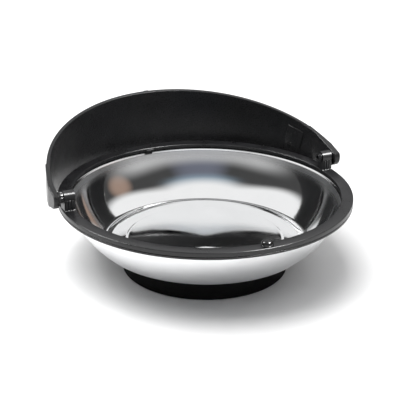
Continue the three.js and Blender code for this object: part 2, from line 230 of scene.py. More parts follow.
def softened(bm, width, steps=3, angle=40.0):
    """Rounds the edges of a bmesh that are sharper than the angle."""
    edges = [e for e in bm.edges if e.is_manifold and e.calc_face_angle() > math.radians(angle)]
    bmesh.ops.bevel(
        bm, geom=edges, offset=width, offset_type="OFFSET", segments=steps, profile=0.5,
        affect="EDGES", clamp_overlap=True,
    )
    return bm


def circle_outline(radius, steps):
    return [Vector((radius * math.cos(2 * math.pi * i / steps), radius * math.sin(2 * math.pi * i / steps)))
            for i in range(steps)]


def box_mesh(low, high):
    bm = bmesh.new()
    bmesh.ops.create_cube(bm, size=1.0)
    size = Vector(high) - Vector(low)
    bmesh.ops.scale(bm, vec=size, verts=bm.verts)
    bmesh.ops.translate(bm, vec=(Vector(low) + Vector(high)) / 2, verts=bm.verts)
    return bm


# ---------- materials ----------

BRUSHED_TOP = 0.28
BRUSHED_OUTSIDE = 0.26
BRUSH_HEIGHTS = (31.0 * MM, 35.5 * MM)
POLISHED_BEND = 0.15
BEND_HEIGHTS = (37.1 * MM, 37.4 * MM)


class Nodes:
    """A material's node tree, with a short way to add and link nodes."""

    def __init__(self, name, color, roughness, metallic=0.0, specular=0.5):
        self.material = bpy.data.materials.new(name)
        self.material.use_nodes = True
        self.tree = self.material.node_tree
        self.shader = self.tree.nodes["Principled BSDF"]
        self.shader.inputs["Base Color"].default_value = (*color, 1)
        self.shader.inputs["Roughness"].default_value = roughness
        self.shader.inputs["Metallic"].default_value = metallic
        self.shader.inputs["Specular IOR Level"].default_value = specular

    def add(self, kind, **settings):
        node = self.tree.nodes.new(kind)
        for key, value in settings.items():
            if key in node.inputs:
                node.inputs[key].default_value = value
            else:
                setattr(node, key, value)
        return node

    def link(self, source, target):
        self.tree.links.new(source, target)

    def place(self):
        return self.add("ShaderNodeTexCoord").outputs["Object"]

    def noise(self, scale, detail=3.0, vector=None):
        node = self.add("ShaderNodeTexNoise", Scale=scale, Detail=detail)
        self.link(vector or self.place(), node.inputs["Vector"])
        return node.outputs["Fac"]

    def ramp(self, source, low, high, start=0.3, end=0.7):
        """A number or colour that goes from low to high as the source goes from start to end."""
        node = self.add("ShaderNodeMapRange")
        node.inputs["From Min"].default_value = start
        node.inputs["From Max"].default_value = end
        node.inputs["To Min"].default_value = low
        node.inputs["To Max"].default_value = high
        self.link(source, node.inputs["Value"])
        return node.outputs["Result"]

    def tint(self, source, low, high, start=0.3, end=0.7):
        node = self.add("ShaderNodeValToRGB")
        node.color_ramp.elements[0].position = start
        node.color_ramp.elements[0].color = (*low, 1)
        node.color_ramp.elements[1].position = end
        node.color_ramp.elements[1].color = (*high, 1)
        self.link(source, node.inputs["Fac"])
        return node.outputs["Color"]

    def bump(self, height, distance, strength=1.0, below=None):
        node = self.add("ShaderNodeBump", Strength=strength, Distance=distance)
        self.link(height, node.inputs["Height"])
        if below:
            self.link(below, node.inputs["Normal"])
        return node.outputs["Normal"]

    def around_axis(self, across):
        """Coordinates that stretch a pattern round the Z axis: fine across the rings, long along them."""
        split = self.add("ShaderNodeSeparateXYZ")
        self.link(self.place(), split.inputs[0])
        flat = self.add("ShaderNodeCombineXYZ")
        self.link(split.outputs["X"], flat.inputs["X"])
        self.link(split.outputs["Y"], flat.inputs["Y"])
        radius = self.add("ShaderNodeVectorMath", operation="LENGTH")
        self.link(flat.outputs[0], radius.inputs[0])
        direction = self.add("ShaderNodeVectorMath", operation="NORMALIZE")
        self.link(flat.outputs[0], direction.inputs[0])
        total = self.add("ShaderNodeMath", operation="ADD")
        self.link(radius.outputs["Value"], total.inputs[0])
        self.link(split.outputs["Z"], total.inputs[1])
        scaled = self.add("ShaderNodeMath", operation="MULTIPLY")
        self.link(total.outputs[0], scaled.inputs[0])
        scaled.inputs[1].default_value = across
        joined = self.add("ShaderNodeCombineXYZ")
        self.link(scaled.outputs[0], joined.inputs["Z"])
        sides = self.add("ShaderNodeSeparateXYZ")
        self.link(direction.outputs[0], sides.inputs[0])
        self.link(sides.outputs["X"], joined.inputs["X"])
        self.link(sides.outputs["Y"], joined.inputs["Y"])
        return joined.outputs[0]


def polished_steel():
    """Spun steel: like a mirror low down inside, brushed towards the rim and outside."""
    m = Nodes("polished_steel", (0.93, 0.935, 0.94), 0.1, metallic=1.0)
    rings = m.noise(2.2, 2.0, m.around_axis(900.0))
    clouds = m.noise(55.0, 3.0)
    height = m.add("ShaderNodeSeparateXYZ")
    m.link(m.place(), height.inputs[0])
    facing = m.add("ShaderNodeSeparateXYZ")
    m.link(m.add("ShaderNodeNewGeometry").outputs["Normal"], facing.inputs[0])
    near_rim = m.ramp(height.outputs["Z"], 0.0, BRUSHED_TOP, *BRUSH_HEIGHTS)
    outside = m.ramp(facing.outputs["Z"], BRUSHED_OUTSIDE, 0.0, -0.25, -0.05)
    below_bend = m.add("ShaderNodeMath", operation="MULTIPLY")
    m.link(near_rim, below_bend.inputs[0])
    m.link(m.ramp(height.outputs["Z"], 1.0, POLISHED_BEND, *BEND_HEIGHTS), below_bend.inputs[1])
    brushed = m.add("ShaderNodeMath", operation="MAXIMUM")
    m.link(below_bend.outputs[0], brushed.inputs[0])
    m.link(outside, brushed.inputs[1])
    roughness = m.add("ShaderNodeMath", operation="ADD")
    m.link(brushed.outputs[0], roughness.inputs[0])
    m.link(m.ramp(clouds, 0.04, 0.09), roughness.inputs[1])
    m.link(roughness.outputs[0], m.shader.inputs["Roughness"])
    m.link(m.tint(clouds, (0.92, 0.925, 0.93), (0.95, 0.955, 0.96)), m.shader.inputs["Base Color"])
    m.link(m.bump(rings, 0.002 * MM), m.shader.inputs["Normal"])
    return m.material


def moulded_plastic(name, low, high, roughness, grain, depth):
    m = Nodes(name, high, roughness)
    clouds = m.noise(120.0, 4.0)
    fine = m.noise(grain, 2.0)
    m.link(m.tint(clouds, low, high), m.shader.inputs["Base Color"])
    m.link(m.ramp(clouds, roughness - 0.05, roughness + 0.06), m.shader.inputs["Roughness"])
    m.link(m.bump(fine, depth), m.shader.inputs["Normal"])
    return m.material


def grained_plastic():
    """The guard: a fine leather-like mould texture."""
    m = Nodes("guard_plastic", (0.004, 0.004, 0.0043), 0.26, specular=0.34)
    cells = m.add("ShaderNodeTexVoronoi", Scale=1500.0)
    m.link(m.place(), cells.inputs["Vector"])
    fine = m.noise(2600.0, 2.0)
    clouds = m.noise(60.0, 3.0)
    m.link(m.tint(clouds, (0.003, 0.003, 0.0033), (0.006, 0.006, 0.0063)), m.shader.inputs["Base Color"])
    m.link(m.ramp(cells.outputs["Distance"], 0.22, 0.32, 0.0, 0.6), m.shader.inputs["Roughness"])
    coarse = m.bump(cells.outputs["Distance"], 0.06 * MM, 0.9)
    m.link(m.bump(fine, 0.02 * MM, 0.6, below=coarse), m.shader.inputs["Normal"])
    return m.material


def rubber(name, color, roughness, specular):
    m = Nodes(name, color, roughness, specular=specular)
    speckle = m.noise(1800.0, 3.0)
    clouds = m.noise(90.0, 3.0)
    light = tuple(c * 1.5 for c in color)
    m.link(m.tint(clouds, color, light), m.shader.inputs["Base Color"])
    m.link(m.ramp(speckle, roughness - 0.08, roughness + 0.08), m.shader.inputs["Roughness"])
    m.link(m.bump(speckle, 0.02 * MM), m.shader.inputs["Normal"])
    return m.material


def plated_steel():
    m = Nodes("plated_steel", (0.62, 0.63, 0.64), 0.35, metallic=1.0)
    clouds = m.noise(300.0, 4.0)
    m.link(m.tint(clouds, (0.55, 0.56, 0.58), (0.68, 0.69, 0.68)), m.shader.inputs["Base Color"])
    m.link(m.ramp(clouds, 0.28, 0.45), m.shader.inputs["Roughness"])
    return m.material


def ferrite():
    m = Nodes("ferrite", (0.05, 0.05, 0.055), 0.7)
    grain = m.noise(900.0, 4.0)
    m.link(m.tint(grain, (0.035, 0.035, 0.04), (0.08, 0.08, 0.085)), m.shader.inputs["Base Color"])
    m.link(m.bump(grain, 0.05 * MM), m.shader.inputs["Normal"])
    return m.material


def foam():
    m = Nodes("pad_foam", (0.75, 0.75, 0.73), 0.95)
    cells = m.add("ShaderNodeTexVoronoi", Scale=1800.0)
    m.link(m.place(), cells.inputs["Vector"])
    m.link(m.tint(cells.outputs["Distance"], (0.60, 0.60, 0.58), (0.80, 0.80, 0.78)),
           m.shader.inputs["Base Color"])
    m.link(m.bump(cells.outputs["Distance"], 0.1 * MM), m.shader.inputs["Normal"])
    return m.material


STEEL = polished_steel()
RIM_PLASTIC = moulded_plastic(
    "rim_plastic", (0.003, 0.003, 0.0033), (0.005, 0.005, 0.0055),
    roughness=0.30, grain=1800.0, depth=0.012 * MM)
PIN_PLASTIC = moulded_plastic(
    "pin_plastic", (0.004, 0.004, 0.0044), (0.006, 0.006, 0.0066),
    roughness=0.25, grain=1500.0, depth=0.006 * MM)
GUARD_PLASTIC = grained_plastic()
BOOT_RUBBER = rubber("boot_rubber", (0.001, 0.001, 0.001), 0.8, 0.15)
BUMPER_RUBBER = rubber("bumper_rubber", (0.003, 0.003, 0.003), 0.16, 0.5)
PLATED_STEEL = plated_steel()
FERRITE = ferrite()
FOAM = foam()
PLASTICS = (RIM_PLASTIC, PIN_PLASTIC, GUARD_PLASTIC, BUMPER_RUBBER)

ROUND_STEPS = 192


# ---------- bowl ----------

WALL_TOP = Vector((69.7 * MM, CLAMP_LOW.z))
WALL_TOP_ANGLE = math.radians(71.7)
WALL_ARC = 49.0 * MM
FOOT_ARC = 5.0 * MM
VALLEY = 14.4 * MM
LEDGE = Vector((48.4 * MM, 14.85 * MM))
PLATEAU = Vector((39.6 * MM, 15.45 * MM))
STEP_WIDTH = 1.1 * MM
LIP_BEND = 1.85 * MM
CROWN_EDGE = PLATEAU.x - 1.2 * MM
CROWN_HEIGHT = 2.2 * MM
CROWN_PEAK = Vector((-4.9, -11.0)) * MM
CROWN_TIP = 0.1


def crown(place):
    """Rise of the plateau at a point: a peak off the middle, hollow behind it and domed in front."""
    arm = place - CROWN_PEAK
    length = arm.length
    if length < 1e-9:
        return CROWN_HEIGHT
    along = CROWN_PEAK.dot(arm) / length
    reach = math.sqrt(along ** 2 + CROWN_EDGE ** 2 - CROWN_PEAK.length_squared) - along
    share = (math.hypot(length / reach, CROWN_TIP) - CROWN_TIP) / (math.hypot(1, CROWN_TIP) - CROWN_TIP)
    share = min(share, 1)
    behind = (1 - along / CROWN_PEAK.length) / 2
    return CROWN_HEIGHT * (behind * (1 - share) ** 2 + (1 - behind) * (1 - share ** 2))


def bowl_centreline():
    """Middle of the sheet from the axis to the lip's edge."""
    half = SHEET / 2
    centre = WALL_TOP + Vector((-math.sin(WALL_TOP_ANGLE), math.cos(WALL_TOP_ANGLE))) * WALL_ARC
    drop = centre.y - FOOT_ARC - (VALLEY - SHEET)
    foot_angle = math.acos(drop / (WALL_ARC - FOOT_ARC))
    down = Vector((math.sin(foot_angle), -math.cos(foot_angle)))
    foot_centre = centre + down * (WALL_ARC - FOOT_ARC)
    level = -math.pi / 2
    foot = arc_points(foot_centre, FOOT_ARC - half, level, level + foot_angle, 12)
    wall = arc_points(centre, WALL_ARC - half, level + foot_angle, level + WALL_TOP_ANGLE, 40)

    plateau = [Vector((CROWN_EDGE * i / 44, PLATEAU.y - half)) for i in range(45)]
    floor = rounded([
        (plateau[-1].x, plateau[-1].y, 0),
        (PLATEAU.x, PLATEAU.y - half, 1.0 * MM),
        (PLATEAU.x + STEP_WIDTH, LEDGE.y - half, 1.0 * MM),
        (LEDGE.x, LEDGE.y - half, 0.9 * MM),
        (foot[0].x, foot[0].y, 0),
    ])
    flange = LIP_TOP - half
    lip = rounded([
        (wall[-1].x, wall[-1].y, 0),
        (wall[-1].x + 0.45 * MM, flange, LIP_BEND),
        (LIP_RADIUS - half, flange, 0),
    ])
    return plateau + floor[1:-1] + foot + wall[1:] + lip[1:]


def offset_line(points, distance):
    """The line moved sideways, to its left where positive."""
    moved = []
    for i, point in enumerate(points):
        before = points[max(i - 1, 0)]
        after = points[min(i + 1, len(points) - 1)]
        along = (after - before).normalized()
        moved.append(point + Vector((-along.y, along.x)) * distance)
    return moved


def make_bowl():
    middle = bowl_centreline()
    inside = offset_line(middle, SHEET / 2)
    outside = offset_line(middle, -SHEET / 2)
    inside[0].x = 0
    outside[0].x = 0
    tip = middle[-1]
    rim = arc_points(tip, SHEET / 2, -math.pi / 2, math.pi / 2, 6)[1:-1]
    profile = outside + rim + list(reversed(inside))
    bm = revolved(profile, ROUND_STEPS, closed=False)
    for vert in bm.verts:
        if vert.co.xy.length < CROWN_EDGE:
            vert.co.z += crown(vert.co.xy)
    return new_object("bowl_pressing", bm, "tray", STEEL, ["bowl"], sharp=60)


# ---------- rim ----------

def post_outline():
    """One hinge post seen along the hinge: a leg with a flared foot and the round knuckle."""
    half = 2.8 * MM
    foot = RIM_TOP - 0.5 * MM
    flare = 0.7 * MM
    join = math.asin(half / KNUCKLE_RADIUS)
    right = [Vector((HINGE.y + half + flare, foot)), Vector((HINGE.y + half + flare, RIM_TOP))]
    for i in range(1, 6):
        angle = math.pi / 2 * i / 5
        right.append(Vector((HINGE.y + half + flare * (1 - math.sin(angle)),
                             RIM_TOP + flare * (1 - math.cos(angle)))))
    knuckle = arc_points(HINGE.yz, KNUCKLE_RADIUS, join - math.pi / 2, math.pi * 1.5 - join, 40)
    left = [Vector((2 * HINGE.y - p.x, p.y)) for p in reversed(right)]
    return right + knuckle + left


def make_rim():
    underside = LIP_TOP + 0.3 * MM
    skirt_bottom = RIM_LOW.z
    profile = closed_rounded([
        (RIM_INNER_RADIUS, underside, 0.15 * MM),
        (SKIRT_INNER_RADIUS, underside, 0.1 * MM),
        (SKIRT_INNER_RADIUS, skirt_bottom, 0.1 * MM),
        (RIM_RADIUS, skirt_bottom, 0.12 * MM),
        (RIM_RADIUS, RIM_TOP, 0.45 * MM),
        (RIM_INNER_RADIUS, RIM_TOP, 0.35 * MM),
    ])
    ring = revolved(profile, ROUND_STEPS, closed=True)
    parts = []
    for side in (-1, 1):
        ends = sorted((side * RIM_INNER_RADIUS, side * POST_END))
        post = bar_along_x(post_outline(), *ends)
        parts.append(softened(post, 0.3 * MM))
        for share in (0.25, 0.5, 0.75):
            x = ends[0] + (ends[1] - ends[0]) * share
            low = (x - 0.35 * MM, HINGE.y - 3.15 * MM, RIM_TOP - 0.3 * MM)
            high = (x + 0.35 * MM, HINGE.y, HINGE.z - 1.2 * MM)
            parts.append(softened(box_mesh(low, high), 0.15 * MM))
    tab_low = (TAB_X - 2.3 * MM, RIM_INNER_RADIUS - 0.9 * MM, underside)
    tab_high = (TAB_X + 2.3 * MM, RIM_INNER_RADIUS + 0.5 * MM, RIM_TOP - 0.6 * MM)
    parts.append(softened(box_mesh(tab_low, tab_high), 0.2 * MM))
    bm = combined(ring, parts, "UNION")
    bores = []
    for side in (-1, 1):
        ends = sorted((side * (RIM_INNER_RADIUS - 1 * MM), side * (RIM_RADIUS + 1 * MM)))
        bore = bar_along_x(circle_outline(POST_BORE, 40), *ends)
        bmesh.ops.translate(bore, vec=(0, HINGE.y, HINGE.z), verts=bore.verts)
        bores.append(bore)
    bm = combined(bm, bores, "DIFFERENCE")
    return new_object("rim_moulding", bm, "tray", RIM_PLASTIC, ["rim_ring"], sharp=40)


def make_clamp_ring():
    profile = closed_rounded([
        (CLAMP_INNER_RADIUS, CLAMP_LOW.z, 0.1 * MM),
        (RIM_RADIUS, CLAMP_LOW.z, 0.35 * MM),
        (RIM_RADIUS, CLAMP_HIGH.z, 0.12 * MM),
        (SKIRT_INNER_RADIUS, CLAMP_HIGH.z, 0.1 * MM),
        (SKIRT_INNER_RADIUS, CLAMP_LOW.z + CLAMP_PLATE, 0.1 * MM),
        (CLAMP_INNER_RADIUS, CLAMP_LOW.z + CLAMP_PLATE, 0.1 * MM),
    ])
    bm = revolved(profile, ROUND_STEPS, closed=True)
    return new_object("clamp_moulding", bm, "tray", RIM_PLASTIC, ["rim_clamp_ring"])


def make_bumper():
    centre = (BUMPER_LOW + BUMPER_HIGH) / 2
    radius = (BUMPER_HIGH.x - BUMPER_LOW.x) / 2
    base = RIM_TOP + 0.02 * MM
    top = BUMPER_HIGH.z
    shoulder = base + 0.75 * MM
    dome = arc_points((0, 0), 1, 0, math.pi / 2, 20)
    dome = [Vector((radius * 0.95 * p.x, shoulder + (top - shoulder) * p.y ** 0.92)) for p in dome]
    dome[-1].x = 0
    side = rounded([
        (0, base, 0),
        (radius, base, 0.15 * MM),
        (radius, base + 0.5 * MM, 0.2 * MM),
        (radius * 0.95, base + 0.6 * MM, 0.1 * MM),
        (dome[0].x, dome[0].y, 0),
    ])
    bm = revolved(side[:-1] + dome, 64, closed=False)
    bmesh.ops.translate(bm, vec=(centre.x, centre.y, 0), verts=bm.verts)
    return new_object("bumper_dome", bm, "tray", BUMPER_RUBBER, ["bumper"], sharp=60)


# ---------- base ----------

def make_boot():
    radius = BOOT_HIGH.x
    top = BOOT_HIGH.z
    pocket = radius - 2.5 * MM
    corners = [(0, 0, 0)]
    for groove in (12 * MM, 21 * MM, 30 * MM):
        corners += [
            (groove, 0, 0.2 * MM),
            (groove + 0.2 * MM, 0.6 * MM, 0.2 * MM),
            (groove + 1.4 * MM, 0.6 * MM, 0.2 * MM),
            (groove + 1.6 * MM, 0, 0.2 * MM),
        ]
    corners += [
        (radius - 0.1 * MM, 0, 0.9 * MM),
        (radius, top * 0.5, 0),
        (radius - 0.2 * MM, top, 0.9 * MM),
        (pocket, top, 0.4 * MM),
        (pocket, 2.2 * MM, 0.4 * MM),
        (0, 2.2 * MM, 0),
    ]
    bm = revolved(rounded(corners), ROUND_STEPS, closed=False)
    return new_object("boot_moulding", bm, "tray", BOOT_RUBBER, ["base_boot"])


# ---------- guard ----------

def cut_height(tilt, offset, y):
    """Height of a guard edge plane at a distance y behind the hinge."""
    return (offset + math.sin(tilt) * y) / math.cos(tilt)


def ear_line(angle, start, end):
    """Plan distance to an ear's face: square to X over the pin, then straight to its end point."""
    direction = Vector((math.cos(angle), math.sin(angle)))
    corner = Vector((start, EAR_RADIUS))
    if direction.y * corner.x <= direction.x * corner.y:
        return start / direction.x
    if direction.y * end.x >= direction.x * end.y:
        return None
    edge = end - corner
    return (corner.x * edge.y - corner.y * edge.x) / (direction.x * edge.y - direction.y * edge.x)


def guard_point(side, station, height, outer):
    """A point on the guard. A station is a negative y on the ear, or a plan angle behind the hinge."""
    face = EAR_OUTER[side] if outer else EAR_INNER[side]
    if station < 0:
        return Vector((face, station, height))
    ball = GUARD_RADIUS if outer else GUARD_RADIUS - GUARD_WALL
    radius = math.sqrt(ball ** 2 - height ** 2)
    ear_ball = GUARD_RADIUS if outer else GUARD_RADIUS - 1.0 * MM
    end = Vector((math.sqrt(ear_ball ** 2 - EAR_TAPER_END ** 2), EAR_TAPER_END))
    ear = ear_line(station, face, end)
    if ear:
        radius = max(radius, ear) if outer else min(radius, ear)
    return Vector((radius * math.cos(station), radius * math.sin(station), height))


def edge_heights(side, station, outer):
    """Lowest and highest point of the guard at a station."""
    low = high = 0.0
    for _ in range(6):
        y_high = guard_point(side, station, high, outer).y
        y_low = guard_point(side, station, low, outer).y
        high = cut_height(UPPER_TILT, UPPER_OFFSET, y_high)
        low = cut_height(LOWER_TILT, LOWER_OFFSET, y_low)
        if y_low < EAR_RADIUS:
            round_end = math.sqrt(max(EAR_RADIUS ** 2 - y_low ** 2, 0))
            low = -round_end if y_low < 0 else min(low, -round_end)
        if y_high < 0:
            high = min(high, math.sqrt(max(EAR_RADIUS ** 2 - y_high ** 2, 0)))
    return low, high


def edge_inset(distance, fillet):
    """How far a face draws back near a rounded edge."""
    if distance >= fillet:
        return 0.0
    return fillet - math.sqrt(fillet ** 2 - (fillet - max(distance, 0)) ** 2)


def guard_row(side, station, outer):
    """Points of one face from the lower to the upper edge, drawn back at the edges."""
    low, high = edge_heights(side, station, outer)
    near_ear = 1 - min(max(station, 0) / math.radians(12), 1)
    fillet = (0.35 + 0.3 * near_ear) * MM
    margin = min(fillet, (high - low) / 2)
    steps = [margin * (1 - math.cos(math.pi / 2 * k / 5)) for k in range(6)]
    heights = [low + step for step in steps]
    heights += [low + margin + (high - low - 2 * margin) * k / 16 for k in range(1, 16)]
    heights += [high - step for step in reversed(steps)]
    row = []
    for height in heights:
        point = guard_point(side, station, height, outer)
        distance = min(height - low, high - height)
        if station < 0:
            distance = min(distance, EAR_RADIUS - math.hypot(station, height))
        inward = -1 if outer else 1
        along = Vector((point.x, point.y, 0)).normalized()
        row.append(point + along * (inward * edge_inset(distance, fillet)))
    return row


def make_guard():
    tip = EAR_RADIUS * 0.9998
    stations = [-tip + EAR_NOSE * (1 - math.cos(math.pi / 2 * i / 6)) for i in range(6)]
    stations += [-tip + EAR_NOSE + (tip - EAR_NOSE) * i / 8 for i in range(8)]
    stations += [math.radians(angle * 0.75) for angle in range(120)]
    columns = []
    bm = bmesh.new()
    for side, ordered in ((-1, [*stations, math.pi / 2]), (1, list(reversed(stations)))):
        for station in ordered:
            rows = [guard_row(side, station, outer) for outer in (True, False)]
            ring = rows[0] + list(reversed(rows[1]))
            columns.append([bm.verts.new((side * p.x + GUARD_SHIFT, p.y + HINGE.y, p.z + HINGE.z))
                            for p in ring])
    count = len(columns[0])
    for first, second in zip(columns, columns[1:]):
        for i in range(count):
            j = (i + 1) % count
            bm.faces.new([first[i], first[j], second[j], second[i]])
    for column in (columns[0], columns[-1]):
        for k in range(count // 2 - 1):
            bm.faces.new([column[k], column[k + 1], column[count - 2 - k], column[count - 1 - k]])
    bm = combined(bm, [guard_nub(), *guard_panel()], "UNION")
    return new_object("guard_moulding", bm, "swing_guard", GUARD_PLASTIC, ["guard"])


def guard_nub():
    """Small thumb nub outside, at the middle of the upper edge."""
    slope = UPPER_TILT + math.asin(UPPER_OFFSET / GUARD_RADIUS)
    bm = softened(box_mesh((-1.5 * MM, GUARD_RADIUS - 1.0 * MM, -2.6 * MM),
                           (1.5 * MM, GUARD_RADIUS + 0.68 * MM, -0.05 * MM)), 0.45 * MM)
    turn = Matrix.Translation((GUARD_SHIFT, HINGE.y, HINGE.z)) @ Matrix.Rotation(slope, 4, "X")
    bm.transform(turn)
    return bm


def guard_panel():
    """Raised square inside the guard, near the right-hand ear, with two pairs of pips."""
    inner = GUARD_RADIUS - GUARD_WALL
    face = inner - 0.7 * MM
    pieces = [softened(box_mesh((face, -5.5 * MM, -4.5 * MM), (inner + 0.5 * MM, 5.5 * MM, 6.5 * MM)),
                       0.3 * MM)]
    for across, height in ((1.7, 1.1), (-0.6, 3.0), (3.0, -6.0), (0.8, -4.0)):
        pip = bmesh.new()
        bmesh.ops.create_icosphere(pip, subdivisions=3, radius=0.55 * MM)
        bmesh.ops.translate(pip, vec=(face, across * MM, (1 + height) * MM), verts=pip.verts)
        pieces.append(pip)
    turn = (Matrix.Translation((GUARD_SHIFT, HINGE.y, HINGE.z)) @ Matrix.Rotation(PANEL_TURN, 4, "Z")
            @ Matrix.Rotation(PANEL_TILT, 4, "X"))
    for bm in pieces:
        bm.transform(turn)
    return pieces


# ---------- hinge pins ----------

PIN_RADIUS = 1.9 * MM
PIN_BORE = 1.1 * MM
PIN_SLOT = 0.8 * MM
BARB_RADIUS = 2.35 * MM
COLLAR_RADIUS = 3.0 * MM
COLLAR_GAP = 0.3 * MM
FLUTE_COUNT = 8
FLUTE_DEPTH = 0.45 * MM
HOLE_DEPTH = 4.0 * MM
SPLIT_END = POST_END - 1.0 * MM


def along_hinge(bm, start, direction):
    """Lays a shape turned about Z on the hinge axis, its base at x = start."""
    lay = Matrix.Rotation(direction * math.pi / 2, 4, "Y")
    bm.transform(Matrix.Translation((start, HINGE.y, HINGE.z)) @ lay)
    return bm


def make_plain_pin():
    """Left-hand pin: a hollow journal, with a fluted collar between the ear and the post."""
    length = LEFT_PIN_HIGH.x - LEFT_PIN_LOW.x
    profile = rounded([
        (0, 0, 0),
        (PIN_RADIUS, 0, 0.3 * MM),
        (PIN_RADIUS, length, 0.3 * MM),
        (PIN_BORE, length, 0.2 * MM),
        (PIN_BORE, length - HOLE_DEPTH, 0.3 * MM),
        (0, length - HOLE_DEPTH, 0),
    ])
    shaft = along_hinge(revolved(profile, 64, closed=False), LEFT_PIN_LOW.x, 1)
    outline = []
    for i in range(FLUTE_COUNT * 16):
        angle = 2 * math.pi * i / (FLUTE_COUNT * 16)
        wave = abs(math.cos(angle * FLUTE_COUNT / 2))
        radius = COLLAR_RADIUS - FLUTE_DEPTH * (1 - wave) ** 2
        outline.append(Vector((math.cos(angle), math.sin(angle))) * radius)
    left = GUARD_SHIFT - EAR_INNER[-1] + COLLAR_GAP
    collar = bar_along_x(outline, left, -POST_END - COLLAR_GAP)
    bmesh.ops.translate(collar, vec=(0, HINGE.y, HINGE.z), verts=collar.verts)
    collar = softened(collar, 0.2 * MM, angle=60)
    bm = combined(shaft, [collar], "UNION")
    return new_object(
        "plain_pin", bm, "swing_guard", PIN_PLASTIC, ["hinge_pin_left"], sharp=50)


def make_snap_pin():
    """Right-hand pin: a hollow, split tip with a barb that holds behind the post."""
    length = RIGHT_PIN_HIGH.x - RIGHT_PIN_LOW.x
    barb = RIM_INNER_RADIUS - 0.3 * MM - RIGHT_PIN_LOW.x
    profile = rounded([
        (PIN_BORE, 0, 0),
        (PIN_RADIUS - 0.2 * MM, 0, 0.2 * MM),
        (BARB_RADIUS, barb - 0.25 * MM, 0.2 * MM),
        (BARB_RADIUS, barb, 0.1 * MM),
        (PIN_RADIUS, barb, 0.1 * MM),
        (PIN_RADIUS, length, 0.3 * MM),
        (0, length, 0),
    ])
    inside = rounded([
        (0, SPLIT_END - RIGHT_PIN_LOW.x, 0),
        (PIN_BORE, SPLIT_END - RIGHT_PIN_LOW.x, 0.3 * MM),
        (PIN_BORE, 0.15 * MM, 0.1 * MM),
        (PIN_BORE + 0.15 * MM, 0, 0),
    ])
    whole = profile[1:] + inside
    body = along_hinge(revolved(whole, 64, closed=True), RIGHT_PIN_LOW.x, 1)
    slot = softened(box_mesh((RIGHT_PIN_LOW.x - 1 * MM, HINGE.y - PIN_SLOT / 2, HINGE.z - 5 * MM),
                             (SPLIT_END, HINGE.y + PIN_SLOT / 2, HINGE.z + 5 * MM)), 0.15 * MM)
    bm = combined(body, [slot], "DIFFERENCE")
    return new_object(
        "snap_pin", bm, "swing_guard", PIN_PLASTIC, ["hinge_pin_right"], sharp=50)


# ---------- stage ----------

CAMERA_AZIMUTH = math.radians(-24.11)
CAMERA_ELEVATION = math.radians(22.67)
CAMERA_DISTANCE = 635.35 * MM
CAMERA_ROLL = math.radians(0.52)
CAMERA_LENS_MM = 113.75
CAMERA_TARGET = Vector((-6.34, -7.56, 39.58)) * MM


def make_camera():
    data = bpy.data.cameras.new("camera")
    data.lens = CAMERA_LENS_MM
    data.sensor_width = 36
    data.clip_start = 0.01
    data.clip_end = 50
    camera = bpy.data.objects.new("camera", data)
    bpy.context.scene.collection.objects.link(camera)
    flat = math.cos(CAMERA_ELEVATION)
    back = Vector((
        math.sin(CAMERA_AZIMUTH) * flat, -math.cos(CAMERA_AZIMUTH) * flat, math.sin(CAMERA_ELEVATION)))
    side = Vector((math.cos(CAMERA_AZIMUTH), math.sin(CAMERA_AZIMUTH), 0))
    up = back.cross(side)
    right = side * math.cos(CAMERA_ROLL) + up * math.sin(CAMERA_ROLL)
    top = up * math.cos(CAMERA_ROLL) - side * math.sin(CAMERA_ROLL)
    place = Matrix((right, top, back)).transposed().to_4x4()
    place.translation = CAMERA_TARGET + back * CAMERA_DISTANCE
    camera.matrix_world = place
    bpy.context.scene.camera = camera


def make_floor():
    bm = bmesh.new()
    bmesh.ops.create_grid(bm, x_segments=1, y_segments=1, size=8)
    paper = Nodes("paper", (0.86, 0.86, 0.86), 0.9, specular=0.2)
    floor = new_object("floor", bm, None, paper.material)


def area_light(name, place, target, size, power, seen_in_gloss=True):
    data = bpy.data.lights.new(name, "AREA")
    data.shape = "RECTANGLE"
    data.size, data.size_y = size
    data.energy = power
    light = bpy.data.objects.new(name, data)
    light.visible_glossy = seen_in_gloss
    light.location = place
    light.rotation_euler = (Vector(target) - Vector(place)).to_track_quat("-Z", "Y").to_euler()
    bpy.context.scene.collection.objects.link(light)
    return light


# ---------- studio ----------

# Brightness is linear. An edge is an elevation, and a reach is an angle from the front, both in degrees.
FRONT_AZIMUTH = 6                 # middle of the tent's opening, to the right of the camera
EDGE_FALL = (-0.8, 0.7)           # the edges are lowest and highest at these cosines from the front
TENT_LIGHT = 0.9
TENT_EDGE_FRONT = 56
TENT_EDGE_BACK = 24
TENT_SOFTNESS = 4
TINT_LIGHT = (0.25, 0.33, 0.40)   # bluish light just under the tent's edge, in front
TINT_REACH = 60
ROOM_LIGHT = 0.06
HAZE_LIGHT = (0.15, 0.16, 0.20)   # the room is a little lighter in front
HAZE_REACH = 35
TABLE_LIGHT = 0.55
TABLE_TOP_FRONT = 29
TABLE_TOP_BACK = 15
TABLE_SOFTNESS = 8
TABLE_REACH = 100
TABLE_FOOT = (2, 14)              # the table's light fades in between these elevations
SPOT_LIGHT = (0.35, 0.25, 0.20)   # one tan patch
SPOT_PLACE = (95, 29)
SPOT_SIZE = 14


def sine(degrees):
    return math.sin(math.radians(degrees))


def cosine(degrees):
    return math.cos(math.radians(degrees))


